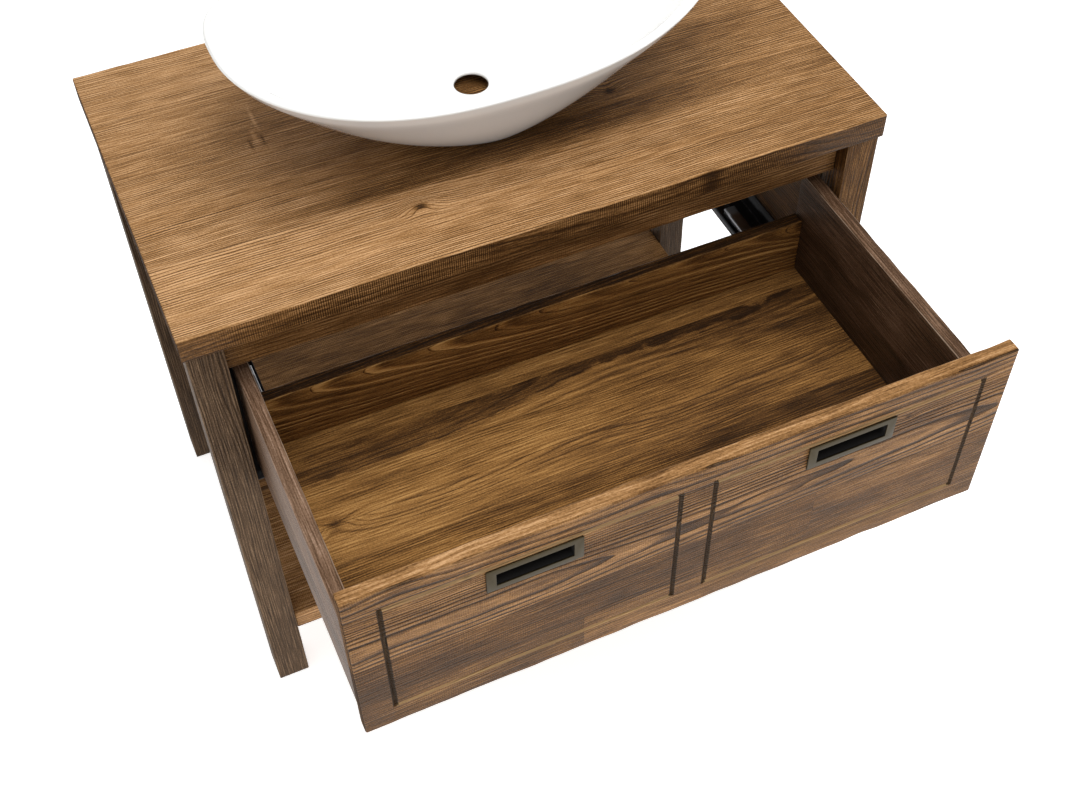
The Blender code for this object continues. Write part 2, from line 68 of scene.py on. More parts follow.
# ---- joinery and hardware sizes
BOARD_ROUNDING = 0.0015
WORKTOP_ROUNDING = 0.0016
FRONT_ROUNDING = 0.0022
BOX_ROUNDING = 0.0014  # sides and back of the drawer box
BOTTOM_ROUNDING = 0.0006
STATION = 0.007  # spacing of the sections along a board
GROOVE_WIDTH = 0.006  # V-grooves, as in the solid
GROOVE_DEPTH = 0.003
PANEL_NEAR = 0.0205  # panel grooves, from the middle of the drawer front
PANEL_FAR = 0.3575
PANEL_UP = (0.036, 0.23)  # panel grooves, above the drawer front's lower edge
PULL_MOUTH = (0.0875, 0.0205)  # width and height
PULL_WALL = 0.0012
PULL_GAP = 0.0003  # between a pull and the wood
SCREW_HEAD = 0.0019  # height
END_TONE = 0.26  # end grain drinks more stain
END_ROUGHNESS = 0.4
RIB_SPACING = 0.0026  # marks of the planer's knives
SHEET = 0.0015  # steel of the slides and brackets

BASIN_HEIGHT = 0.13
BASIN_END_RISE = 0.038
BASIN_RIM_POWER = 2.42
BASIN_FOOT = (0.08, 0.095)  # half length and half width of the foot
BASIN_RIM = 0.009
BASIN_FLOOR = 0.019
BASIN_HOLE = 0.0215  # radius
BASIN_UPRIGHT = 0.86  # how far the wall turns upright just below the rim
BASIN_OPENING = (0.52, 0.86, 0.45)  # powers: outside length, outside width, inside
BASIN_RINGS = (23, 8, 27)  # outside, over the rim and inside
BASIN_HOLLOW_RADIUS = 0.058  # the hollow under the floor
BASIN_HOLLOW_HEIGHT = 0.0135
BASIN_HOLLOW_DRAFT = 0.004


# ======== shader helpers
def joined_by(operation, swapped=False):
    """A method that puts a field, and mostly a second value, through a math node."""
    def method(self, other=0.0):
        pair = (other, self) if swapped else (self, other)
        return self.graph.math(operation, *pair)
    return method


class Field:
    """A shader socket that is used like a number."""

    def __init__(self, graph, socket):
        self.graph = graph
        self.socket = socket

    __add__ = __radd__ = joined_by("ADD")
    __sub__ = joined_by("SUBTRACT")
    __rsub__ = joined_by("SUBTRACT", swapped=True)
    __mul__ = __rmul__ = joined_by("MULTIPLY")
    __truediv__ = joined_by("DIVIDE")
    absolute = joined_by("ABSOLUTE")
    least = joined_by("MINIMUM")
    most = joined_by("MAXIMUM")
    beyond = joined_by("GREATER_THAN")
    root = joined_by("SQRT")
    sine = joined_by("SINE")
    fraction = joined_by("FRACT")

    def falloff(self, rate):
        """1 at zero, dying away as a bell curve when the field is a squared distance."""
        return self.graph.math("POWER", math.e, self * -rate)

    def smooth(self, low, high, to_low=0.0, to_high=1.0):
        """A soft step from to_low at low to to_high at high."""
        node = self.graph.add("ShaderNodeMapRange", interpolation_type="SMOOTHSTEP")
        for index, item in enumerate((self, low, high, to_low, to_high)):
            self.graph.set(node.inputs[index], item)
        return Field(self.graph, node.outputs[0])

    def swing(self, amount):
        """A 0..1 factor turned into -amount/2 .. +amount/2."""
        return (self - 0.5) * amount

    def strong(self, spread, amount):
        """Noise spread out to full contrast, as -amount/2 .. +amount/2."""
        return self.smooth(0.5 - spread, 0.5 + spread, -amount / 2, amount / 2)


class Graph:
    """Adds shader nodes to a tree."""

    def __init__(self, tree):
        self.tree = tree

    def set(self, socket, value):
        if isinstance(value, Field):
            self.tree.links.new(value.socket, socket)
        elif isinstance(value, tuple) and socket.type == "RGBA":
            socket.default_value = (*value, 1.0)
        else:
            socket.default_value = value

    def add(self, kind, **settings):
        node = self.tree.nodes.new(kind)
        for key, value in settings.items():
            setattr(node, key, value)
        return node

    def math(self, operation, a, b=0.0, clamp=False):
        node = self.add("ShaderNodeMath", operation=operation, use_clamp=clamp)
        self.set(node.inputs[0], a)
        self.set(node.inputs[1], b)
        return Field(self, node.outputs[0])

    def noise(self, place, scale=1.0, detail=2.0, roughness=0.5):
        """Noise, 0 to 1, at a place that is a vector field or its three parts."""
        if isinstance(place, tuple):
            joined = self.add("ShaderNodeCombineXYZ")
            for index, item in enumerate(place):
                self.set(joined.inputs[index], item)
            place = Field(self, joined.outputs[0])
        node = self.add("ShaderNodeTexNoise")
        self.set(node.inputs["Vector"], place)
        for key, item in (("Scale", scale), ("Detail", detail), ("Roughness", roughness)):
            node.inputs[key].default_value = item
        return Field(self, node.outputs["Fac"])

    def mix(self, factor, a, b):
        node = self.add("ShaderNodeMix", data_type="RGBA")
        self.set(node.inputs[0], factor)
        self.set(node.inputs[6], a)
        self.set(node.inputs[7], b)
        return Field(self, node.outputs[2])

    def steps(self, value, stops):
        """A table of constant steps: stops are (place 0..1, (four numbers 0..1))."""
        node = self.add("ShaderNodeValToRGB")
        ramp = node.color_ramp
        ramp.interpolation = "CONSTANT"
        while len(ramp.elements) < len(stops):
            ramp.elements.new(1.0)
        for index, element in enumerate(ramp.elements):
            place, numbers = stops[min(index, len(stops) - 1)]
            element.position = place if index < len(stops) else 1.0
            element.color = numbers
        self.set(node.inputs[0], value)
        split = self.add("ShaderNodeSeparateColor")
        self.tree.links.new(node.outputs[0], split.inputs[0])
        return [Field(self, output) for output in (*split.outputs[:3], node.outputs[1])]

    def ramp(self, value, colours):
        """Colours at even steps from 0 to 1, blended between."""
        node = self.add("ShaderNodeValToRGB")
        elements = node.color_ramp.elements
        while len(elements) < len(colours):
            elements.new(1.0)
        for index, (element, colour) in enumerate(zip(elements, colours)):
            element.position = index / (len(colours) - 1)
            element.color = (*colour, 1.0)
        self.set(node.inputs[0], value)
        return Field(self, node.outputs[0])

    def bump(self, height, strength, distance):
        node = self.add("ShaderNodeBump")
        node.inputs["Strength"].default_value = strength
        node.inputs["Distance"].default_value = distance
        self.set(node.inputs["Height"], height)
        return Field(self, node.outputs["Normal"])


def new_material(name):
    """A material with its graph, its shader, the object's coordinates and their three parts."""
    material = bpy.data.materials.new(name)
    material.use_nodes = True
    graph = Graph(material.node_tree)
    shader = material.node_tree.nodes["Principled BSDF"]
    place = Field(graph, graph.add("ShaderNodeTexCoord").outputs["Object"])
    split = graph.add("ShaderNodeSeparateXYZ")
    graph.set(split.inputs[0], place)
    return material, graph, shader, place, [Field(graph, output) for output in split.outputs]


def paint(graph, shader, colour, roughness, normal=None, **more):
    """Sets the shader's inputs; the names of further ones have _ for a space."""
    if normal:
        more["Normal"] = normal
    for name, value in dict(more, Base_Color=colour, Roughness=roughness).items():
        graph.set(shader.inputs[name.replace("_", " ")], value)


# ======== wood
PITH_RANGE = 0.2  # how far a pith may lie outside the panel
DEPTH_RANGE = 0.14
RING_RANGE = 0.01
HEART_RANGE = 0.16
LEAN_RANGE = 0.4  # from -0.20 to +0.20
FADE_RANGE = 1.0  # from -0.50 to +0.50
JOINT_TONE = 0.1  # how much lighter the wood beyond a butt joint is

SIDE_WANDER = 0.03  # how far the pith strays sideways
DEPTH_WANDER = 0.16  # how far a wholly wild pith strays in depth
RIPPLE = 0.0034  # small waves in the growth rings
RING_UNEVEN = 2.0  # how unevenly the rings grow, in rings
HEART_TORN = 0.018  # how ragged the heartwood's edge is
HEART_TONE = 0.39  # how much darker heartwood is
BEND_REACH = 0.11  # a knot bends the rings three times as far as it darkens
SEAM_HALF_WIDTH = 0.0007
EDGE_WEAR_WIDTH = 0.0012
WORN_WOOD = (0.42, 0.25, 0.11)
# painted highlight colour for the lower walls of the level grooves
LIP_HIGHLIGHT_COLOUR = (0.6, 0.4, 0.2)
# near black, for gathered stain and painted shade in the upright grooves
GROOVE_STAIN_AND_SHADE = (0.018, 0.011, 0.006)


class Board:
    """One of the boards that are glued side by side into a panel."""

    def __init__(self, start, pith, depth, ring, tone, line=0.6, wild=0.5, lean=0.0, fade=0.0,
                 heart=0.0, joint=None):
        self.start = start  # where it starts across the panel
        self.pith = pith  # its pith's place across the panel
        self.depth = depth  # the pith's depth below the face
        self.ring = ring  # width of a growth ring
        self.tone = tone  # dark 0 to light 1
        self.line = line  # strength of the late wood's lines
        self.wild = wild  # how much the pith wanders
        self.lean = lean  # how fast the depth grows along the board
        self.fade = fade  # how much lighter the board gets along its length
        self.heart = heart  # radius of the dark heartwood
        self.joint = joint  # place along the board of a butt joint


def board_table(graph, across, along, panel, boards):
    """Looks up the numbers of the board that a point lies in."""
    low, high, along_low, along_high = panel
    width = high - low
    length = along_high - along_low
    tables = ([], [], [])
    for index, board in enumerate(boards):
        pith = (board.pith - low + PITH_RANGE) / (width + 2 * PITH_RANGE)
        end = 1.0 if board.joint is None else (board.joint - along_low) / length
        rows = ((pith, board.depth / DEPTH_RANGE, board.ring / RING_RANGE, board.lean / LEAN_RANGE + 0.5),
                (board.tone, board.line, (index * 0.37 + 0.11) % 1.0, board.fade / FADE_RANGE + 0.5),
                (board.heart / HEART_RANGE, end, board.wild, 1.0))
        for table, row in zip(tables, rows):
            table.append(((board.start - low) / width, row))
    place = (across - low) / width
    pith, depth, ring, lean = graph.steps(place, tables[0])
    tone, line, seed, fade = graph.steps(place, tables[1])
    heart, end, wild, _ = graph.steps(place, tables[2])
    share = (along - along_low) / length
    beyond = share.beyond(end)
    return {
        "pith": pith * (width + 2 * PITH_RANGE) + (low - PITH_RANGE),
        "depth": depth * DEPTH_RANGE + lean.swing(LEAN_RANGE) * (along - along_low),
        "ring": ring * RING_RANGE,
        "tone": tone + beyond * JOINT_TONE + fade.swing(FADE_RANGE) * share,
        "line": line,
        "seed": seed * 9.0 + beyond * 3.7,
        "heart": heart * HEART_RANGE,
        "wild": wild,
    }


def seam_mask(across, boards):
    """1 on the glue lines between boards."""
    mask = 0.0
    for board in boards[1:]:
        away = (across - board.start).absolute()
        mask = away.smooth(SEAM_HALF_WIDTH, SEAM_HALF_WIDTH * 0.3).most(mask)
    return mask


def edge_mask(axes, box, ragged):
    """1 where two faces of a box meet."""
    inner = [(axis - low).least(high - axis) for axis, low, high in zip(axes, *box)]
    low = inner[0].least(inner[1])
    high = inner[0].most(inner[1])
    middle = low.most(high.least(inner[2]))
    ragged = middle + ragged.swing(EDGE_WEAR_WIDTH * 2.4)
    return ragged.smooth(EDGE_WEAR_WIDTH, EDGE_WEAR_WIDTH * 0.25)


def mark_fields(along, across, marks):
    """How far knots and smudges bend the growth rings, and how much they darken.

    A mark is (along, across, half length, half width, darkness) and, for some, the bend.
    """
    bend = 0.0
    core = 0.0
    for place_along, place_across, half_length, half_width, darkness, *push in marks:
        x = (along - place_along) / half_length
        y = (across - place_across) / half_width
        square = x * x + y * y
        if darkness:
            core = square.falloff(1.0) * darkness + core
        if push:
            bend = square.falloff(BEND_REACH) * push[0] + bend
    return bend, core


def pooled_stain_and_shade(along, across, speckle, grooves):
    """1 along the upright grooves, for gathered stain and painted shade; grooves is (places, low, high).
    """
    places, low, high = grooves
    near = 0.0
    for place in places:
        gap = (along.absolute() - place).absolute() + speckle.swing(GROOVE_WIDTH * 0.37)
        near = gap.smooth(GROOVE_WIDTH * 0.58, GROOVE_WIDTH * 0.48).most(near)
    inside = (across - low).least(high - across)
    return near * inside.smooth(-GROOVE_WIDTH * 0.53, -GROOVE_WIDTH * 0.33)


def painted_lip_highlight(along, across, grooves):
    """1 on the lower walls of the level grooves, which get a painted highlight."""
    places, low, high = grooves
    half = abs(places[1] - places[0]) / 2
    lips = 0.0
    for place in (low, high):
        gap = (across - (place - GROOVE_WIDTH * 0.3)).absolute()
        lips = gap.smooth(GROOVE_WIDTH * 0.34, GROOVE_WIDTH * 0.2).most(lips)
    from_middle = (along.absolute() - sum(places) / 2).absolute()
    return lips * from_middle.smooth(half, half - GROOVE_WIDTH / 3)


def pine(name, along, across, box, face, boards, stain, marks=(), line_tone=-0.46, line_sharp=0.52,
         sawtooth=0.0, streaky=0.24, blotchy=0.24, ribs=(0.0, 0.0), edge_tone=0.0, edge_line=1.0,
         roughness=0.46, wear=0.25, wear_colour=WORN_WOOD, grooves=None, relief=0.0013):
    """Stained, brushed pine: boards glued side by side.

    along and across are axis numbers, and face is the place of the panel's best face on
    the third axis. stain is a row of colours from dark to light. line_tone is how much
    lighter the late wood is and line_sharp where in a ring it starts, sawtooth how much each
    ring darkens outwards, and streaky and blotchy how strong these patterns are. ribs are the
    planer's marks on the face and on the edges, edge_tone darkens the edges and edge_line
    weakens their lines, and wear is how far the corners are rubbed.
    """
    material, graph, shader, _, axes = new_material(name)
    u = axes[along]
    v = axes[across]
    w = (axes[3 - along - across] - face).absolute()
    panel = (box[0][across], box[1][across], box[0][along], box[1][along])
    board = board_table(graph, v, u, panel, boards)
    seed = board["seed"]
    run = u + seed
    on_edge = w.smooth(0.0012, 0.0026)
    end = (u - box[0][along]).least(box[1][along] - u).smooth(0.001, 0.0003)
    bend, core = mark_fields(u, v, marks)

    # growth rings: the distance from a pith that wanders and leans
    wander = graph.noise((run * 1.6, v * 5.0, seed), detail=1.0)
    drift = graph.noise((run * 2.4, 3.7, seed), detail=1.5)
    ripple = graph.noise((run * 11.0, v * 34.0, w * 30.0))
    side = v + wander.swing(SIDE_WANDER) - board["pith"]
    sink = board["depth"] + w + (drift - 0.5) * (board["wild"] * DEPTH_WANDER)
    radius = (side * side + sink * sink).root() + ripple.swing(RIPPLE) + bend
    uneven = graph.noise((radius * 70.0, seed, 0.3))
    part = (radius / board["ring"] + uneven.swing(RING_UNEVEN)).fraction()
    late = part.smooth(line_sharp, 0.88) * part.smooth(1.0, 0.92)
    group = graph.noise((radius * 46.0, run * 1.6, 2.2), detail=1.0)
    late = late * group.smooth(0.34, 0.58, 0.5, 1.0)
    late = late * (board["line"] * on_edge.smooth(0.0, 1.0, 1.0, edge_line))

    # finer structure, from 200 mm streaks down to 2 mm specks
    streak = graph.noise((run * 5.0, radius * 400.0, seed), detail=3.0, roughness=0.75)
    fibre = graph.noise((run * 20.0, v * 560.0, w * 560.0), roughness=0.6)
    grain = graph.noise((u * 360.0, v * 620.0, w * 620.0), roughness=0.65)
    blotch = graph.noise((run * 4.0, v * 15.0, seed), detail=3.0, roughness=0.6)
    smoke = graph.noise((run * 9.0, v * 46.0, w * 46.0), detail=3.0, roughness=0.6)
    tone = board["tone"] + blotch.strong(0.22, blotchy) + smoke.strong(0.22, blotchy * 0.5)
    tone = tone + streak.strong(0.2, streaky) + fibre.strong(0.18, 0.32) + grain.strong(0.22, 0.22)
    tone = tone + late * line_tone - (part - 0.5) * sawtooth - on_edge * edge_tone
    if max(ribs):
        jitter = graph.noise((u * 55.0, v * 24.0, 0.0))
        rib = (u * (2 * math.pi / RIB_SPACING) + jitter * 9.0).sine()
        patch = graph.noise((u * 6.0, v * 20.0, seed)).smooth(0.42, 0.58)
        tone = tone + rib * (patch * on_edge.smooth(0.0, 1.0, *ribs))
    if any(item.heart for item in boards):
        torn = graph.noise((run * 20.0, v * 40.0, 0.0), detail=3.0)
        inside = board["heart"] - (radius + torn.swing(HEART_TORN))
        tone = tone - inside.smooth(-0.0004, 0.0012, 0.0, HEART_TONE)
    tone = tone - core - end * END_TONE
    colour = graph.ramp(graph.math("ADD", tone, 0.0, clamp=True), stain)

    # glue lines, stain and painted shade in the upright grooves, a painted highlight on the level
    # grooves' lower walls, and rubbed corners
    if len(boards) > 1:
        colour = graph.mix(seam_mask(v, boards) * 0.4, colour, stain[0])
    if grooves:
        near_face = w.smooth(GROOVE_DEPTH * 1.6, GROOVE_DEPTH * 1.3)
        # painted highlight on the lower walls of the level grooves
        lips = painted_lip_highlight(u, v, grooves) * (near_face * 0.5)
        colour = graph.mix(lips, colour, LIP_HIGHLIGHT_COLOUR)
        # gathered stain and painted shade in the upright grooves
        stain_and_shade = pooled_stain_and_shade(u, v, grain, grooves) * (near_face * 0.88)
        colour = graph.mix(stain_and_shade, colour, GROOVE_STAIN_AND_SHADE)
    worn = edge_mask(axes, box, streak) * end.smooth(0.0, 1.0, wear, 0.0)
    colour = graph.mix(worn, colour, wear_colour)

    shine = fibre.swing(0.24) + blotch.swing(0.14) + roughness + end * END_ROUGHNESS
    height = fibre * 0.8 + grain * 0.5 + streak * 0.9 - late * 0.7
    paint(graph, shader, colour, shine, graph.bump(height, 0.9, relief), Specular_IOR_Level=0.15,
          Specular_Tint=(1.0, 0.76, 0.52))
    return material


# ======== other materials
def glaze():
    """White glaze with the slight waviness and pin specks of fired ware."""
    material, graph, shader, place, _ = new_material("basin_glaze")
    cloud = graph.noise(place, scale=7.0, detail=3.0)
    orange_peel = graph.noise(place, scale=90.0)
    speck = graph.noise(place, scale=900.0, detail=1.0)
    colour = graph.mix(cloud, (0.815, 0.813, 0.796), (0.845, 0.842, 0.824))
    colour = graph.mix(speck.smooth(0.8, 0.86), colour, (0.62, 0.6, 0.57))
    paint(graph, shader, colour, cloud.swing(0.05) + 0.1, graph.bump(orange_peel, 0.1, 0.0006),
          Coat_Weight=0.35, Coat_Roughness=0.04)
    return material


def pewter():
    """Plated zinc with a brown patina, lighter in brushed streaks."""
    material, graph, shader, place, (x, y, z) = new_material("pull_pewter")
    cloud = graph.noise(place, scale=120.0, detail=4.0, roughness=0.65)
    brushed = graph.noise((x * 90.0, y * 900.0, z * 2600.0))
    colour = graph.mix(cloud, (0.026, 0.0195, 0.0095), (0.06, 0.046, 0.024))
    colour = graph.mix(brushed * 0.35, colour, (0.086, 0.07, 0.045))
    paint(graph, shader, colour, cloud.swing(0.2) + 0.42, graph.bump(brushed, 0.12, 0.0002), Metallic=1.0)
    return material


def pull_inside():
    """The blackened inside of a pull's cup."""
    material, graph, shader, place, _ = new_material("pull_inside")
    cloud = graph.noise(place, scale=150.0, detail=3.0)
    colour = graph.mix(cloud, (0.003, 0.003, 0.003), (0.009, 0.007, 0.006))
    paint(graph, shader, colour, cloud.swing(0.2) + 0.75, graph.bump(cloud, 0.2, 0.0003),
          Specular_IOR_Level=0.15)
    return material


def coated_steel(name, low, high, roughness, metallic, scratch):
    """Coated or plated sheet with fine rolling marks and rubbed patches."""
    material, graph, shader, place, (x, y, z) = new_material(name)
    cloud = graph.noise(place, scale=45.0, detail=4.0, roughness=0.6)
    rolled = graph.noise((x * 1500.0, y * 25.0, z * 1500.0))
    rubbed = rolled.smooth(0.6, 0.74) * cloud.smooth(0.45, 0.62)
    colour = graph.mix(rubbed * scratch, graph.mix(cloud, low, high), (0.42, 0.42, 0.43))
    paint(graph, shader, colour, cloud.swing(0.22) + roughness, graph.bump(rolled + cloud, 0.1, 0.0003),
          Metallic=metallic)
    return material


def moulded_nylon():
    """Dark moulded nylon with a spark-eroded grain."""
    material, graph, shader, place, _ = new_material("slide_nylon")
    spark = graph.noise(place, scale=1400.0)
    colour = graph.mix(graph.noise(place, scale=30.0), (0.03, 0.031, 0.034), (0.055, 0.056, 0.06))
    paint(graph, shader, colour, spark.swing(0.2) + 0.55, graph.bump(spark, 0.18, 0.0003))
    return material


# ======== mesh helpers
def link(name, data):
    obj = bpy.data.objects.new(name, data)
    bpy.context.scene.collection.objects.link(obj)
    return obj


def solid(name, shape):
    """Turns a bmesh into a smooth-shaded object with sharp edges kept."""
    bmesh.ops.recalc_face_normals(shape, faces=shape.faces)
    mesh = bpy.data.meshes.new(name)
    shape.to_mesh(mesh)
    shape.free()
    mesh.shade_smooth()
    mesh.set_sharp_from_angle(angle=math.radians(50))
    return link(name, mesh)


def skin(shape, rings, closed=True):
    """Adds the faces between each ring, or open row, of vertices and the next."""
    for ring, following in zip(rings, rings[1:]):
        for i in range(len(ring) if closed else len(ring) - 1):
            k = (i + 1) % len(ring)
            shape.faces.new((ring[i], ring[k], following[k], following[i]))


def add_box(shape, low, high, rounding=0.0, segments=3):
    """Adds a box with rounded edges to a bmesh."""
    low, high = Vector(low), Vector(high)
    made = bmesh.ops.create_cube(shape, size=1.0)["verts"]
    place = Matrix.Translation((low + high) / 2) @ Matrix.Diagonal((*(high - low), 1.0))
    bmesh.ops.transform(shape, matrix=place, verts=made)
    if rounding:
        edges = list({edge for vert in made for edge in vert.link_edges})
        bmesh.ops.bevel(shape, geom=edges, offset=rounding, segments=segments, profile=0.5,
                        affect="EDGES", clamp_overlap=True)


def give(obj, body, material, node):
    """Gives a piece its material and body, and hides the CAD node that it stands for."""
    obj.data.materials.append(material)
    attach(obj, body)
    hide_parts(node)


def box_tool(low, high):
    shape = bmesh.new()
    add_box(shape, low, high)
    return solid("box_tool", shape)


def cut(obj, tool):
    """Cuts a tool object out of a piece and removes the tool."""
    boolean = obj.modifiers.new("cut", "BOOLEAN")
    boolean.solver = "EXACT"
    boolean.object = tool
    bpy.context.view_layer.update()
    evaluated = obj.evaluated_get(bpy.context.evaluated_depsgraph_get())
    mesh = bpy.data.meshes.new_from_object(evaluated)
    obj.modifiers.clear()
    obj.data = mesh
    bpy.data.objects.remove(tool, do_unlink=True)


def board_shape(low, high, along, rounding):
    """A board lofted along its grain, with unevenly worn long edges."""
    axes = [axis for axis in range(3) if axis != along]
    middle = (low + high) / 2
    reach = [(high[axis] - low[axis]) / 2 for axis in axes]
    turns = [math.pi / 8 * step for step in range(5)]
    stations = []  # places along the board and how far they are drawn in
    for turn in turns:
        step = rounding * (1 - math.sin(turn))
        inset = rounding * (1 - math.cos(turn))
        stations += [(low[along] + step, inset), (high[along] - step, inset)]
    length = high[along] - low[along]
    count = max(2, round(length / STATION))
    stations += [(low[along] + length * index / count, 0.0) for index in range(1, count)]
    shape = bmesh.new()
    rings = []
    for place, inset in sorted(stations):
        ring = []
        for corner, signs in enumerate(((1, 1), (-1, 1), (-1, -1), (1, -1))):
            worn = noise.noise(Vector((place * 34.0, corner * 7.3, middle[axes[0]] * 11.0)))
            radius = rounding * min(max(1.0 + 1.1 * worn, 0.5), 2.0)
            for turn in turns:
                angle = turn + corner * math.pi / 2
                point = [0.0, 0.0, 0.0]
                point[along] = place
                swings = (math.cos(angle), math.sin(angle))
                for axis, sign, size, swing in zip(axes, signs, reach, swings):
                    point[axis] = middle[axis] + sign * (size - inset - radius) + radius * swing
                ring.append(shape.verts.new(point))
        rings.append(ring)
    skin(shape, rings)
    shape.faces.new(rings[0])
    shape.faces.new(rings[-1])
    return shape


# ======== wooden pieces
# Stains are colours from dark to light.
STAIN = ((0.026, 0.011, 0.004), (0.115, 0.051, 0.015), (0.325, 0.166, 0.061), (0.6, 0.352, 0.172))
GOLD_STAIN = ((0.024, 0.011, 0.005), (0.104, 0.046, 0.014), (0.306, 0.148, 0.042), (0.56, 0.305, 0.102))
DUSKY_STAIN = ((0.02, 0.011, 0.006), (0.078, 0.04, 0.021), (0.215, 0.128, 0.08), (0.41, 0.28, 0.2))
GREY_STAIN = ((0.028, 0.016, 0.009), (0.1, 0.06, 0.034), (0.255, 0.165, 0.098), (0.45, 0.31, 0.2))


def wood_board(node, body, slot, along, across, face, boards, stain, rounding=BOARD_ROUNDING, **looks):
    """A worn board of stained pine in the place of a CAD board."""
    low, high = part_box(node)
    material = pine(node + "_pine", along, across, (low, high), face, boards, stain, **looks)
    give(solid(node + "_wood", board_shape(low, high, along, rounding)), body, material, node)


def make_worktop():
    low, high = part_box("worktop")
    y = EDGE_Y
    boards = [
        Board(low.y, y + 0.15, 0.04, 0.0031, 0.84, line=1.0, lean=-0.03, wild=0.25, fade=-0.16),
        Board(y + 0.118, y - 0.06, 0.04, 0.0031, 0.77, line=0.9, wild=0.25, fade=-0.18),
        Board(y + 0.162, y - 0.02, 0.06, 0.0033, 0.76, line=0.9, wild=0.3, fade=-0.14),
        Board(y + 0.324, y + 0.2, 0.06, 0.0033, 0.72, line=0.6, wild=0.25),
        Board(y + 0.391, y + 0.56, 0.05, 0.0033, 0.82, line=0.7, wild=0.25, fade=-0.1),
    ]
    marks = [
        (-0.264, y + 0.325, 0.0022, 0.02, -0.3),  # a spike knot shaped like a Y
        (-0.272, y + 0.29, 0.003, 0.014, -0.22),
        (-0.28, y + 0.278, 0.002, 0.009, 0.34),
        (-0.264, y + 0.282, 0.002, 0.009, 0.34),
        (-0.262, y + 0.298, 0.065, 0.034, 0.1),
        (-0.132, y + 0.09, 0.008, 0.0045, 0.75, 0.012),  # round knots
        (0.16, y + 0.187, 0.007, 0.005, 0.6, 0.009),
        (0.355, y + 0.42, 0.005, 0.0035, 0.6, 0.008),
        (-0.18, y + 0.136, 0.09, 0.012, 0.28),  # smudges of dark stain; the second is deepened into a painted shadow of the basin
        # painted shadow: the basin's shadow on the worktop, in front of its foot
        (0.06, y + 0.15, 0.16, 0.03, 0.42),
        (0.18, y + 0.06, 0.12, 0.016, 0.08),
        (0.3, y + 0.23, 0.12, 0.02, 0.1),
        (0.205, y, 0.011, 0.0025, 0.4),  # a knot in the front edge
        (0.0, (BASIN_LOW.y + BASIN_HIGH.y) / 2, 0.05, 0.05, 0.28),  # painted shade under the basin, where the wood shows through the waste hole
    ]
    wood_board("worktop", "cabinet", "worktop_pine", 0, 1, high.z, boards, STAIN, WORKTOP_ROUNDING,
               marks=marks, streaky=0.18, blotchy=0.12, line_tone=-0.64, line_sharp=0.6,
               ribs=(0.02, 0.26), edge_tone=0.45, edge_line=0.4, wear=0.16)


def make_legs():
    # painted shade: the rear legs get much lower tones than the front ones, for the shade that falls on
    # them
    looks = {"front_left": (0.33, GREY_STAIN), "front_right": (0.33, STAIN),
             "rear_left": (0.16, GREY_STAIN), "rear_right": (0.18, GREY_STAIN)}
    for index, (place, (tone, stain)) in enumerate(looks.items()):
        node = "leg_" + place
        low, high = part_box(node)
        middle = (low + high) / 2
        boards = [Board(low.x, low.x - 0.06 - 0.02 * index, 0.03, 0.0034, tone, line=0.75, wild=0.2,
                        lean=0.02)]
        marks = [(0.655 - 0.05 * index, middle.x + 0.004, 0.03, 0.0045, 0.0, 0.008)]
        wood_board(node, "cabinet", "frame_pine", 2, 0, low.y, boards, stain, marks=marks,
                   line_tone=-0.34, streaky=0.16, blotchy=0.14, roughness=0.6, wear=0.15)


def make_rails():
    for node, tone in (("front_rail", 0.48), ("rear_rail", 0.32)):
        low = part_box(node)[0]
        boards = [Board(low.z, low.z - 0.08, 0.05, 0.004, tone, line=0.8, wild=0.2)]
        wood_board(node, "cabinet", "frame_pine", 0, 2, low.y, boards, STAIN, ribs=(0.08, 0.08))


def make_aprons():
    for side, sign in SIDES:
        node = "side_apron_" + side
        low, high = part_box(node)
        inner = low.x if sign > 0 else high.x
        # painted shade: the aprons get very low tones, for the shade inside the cabinet behind the slides
        boards = [
            Board(low.z, low.z - 0.07, 0.06, 0.0042, 0.18, wild=0.3),
            Board(low.z + 0.135, low.z + 0.27, 0.045, 0.004, 0.24, wild=0.3),
        ]
        wood_board(node, "cabinet", "frame_pine", 1, 2, inner, boards, STAIN)


def make_shelf():
    low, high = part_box("shelf")
    boards = [
        Board(low.y, low.y - 0.09, 0.05, 0.0044, 0.62, line=0.6, wild=0.3),
        Board(low.y + 0.112, low.y + 0.25, 0.06, 0.004, 0.52, wild=0.3),
        Board(low.y + 0.231, low.y + 0.4, 0.06, 0.0034, 0.38, wild=0.3),
        Board(low.y + 0.352, low.y + 0.25, 0.07, 0.0034, 0.48, wild=0.3),
    ]
    wood_board("shelf", "cabinet", "shelf_pine", 0, 1, high.z, boards, STAIN, ribs=(0.08, 0.08))


def panel_groove(x_low, x_high, z_low, z_high, face_y):
    """A mitred V-groove cutter along a rectangle, the same loft as in the solid."""
    half = GROOVE_WIDTH / 2
    sections = ((half, face_y), (0.0, face_y + GROOVE_DEPTH), (-half, face_y), (0.0, face_y - half))
    shape = bmesh.new()
    rings = []
    for grow, y in sections:
        corners = ((x_low - grow, z_low - grow), (x_high + grow, z_low - grow),
                   (x_high + grow, z_high + grow), (x_low - grow, z_high + grow))
        rings.append([shape.verts.new((x, y, z)) for x, z in corners])
    skin(shape, rings + rings[:1])
    return solid("groove_tool", shape)


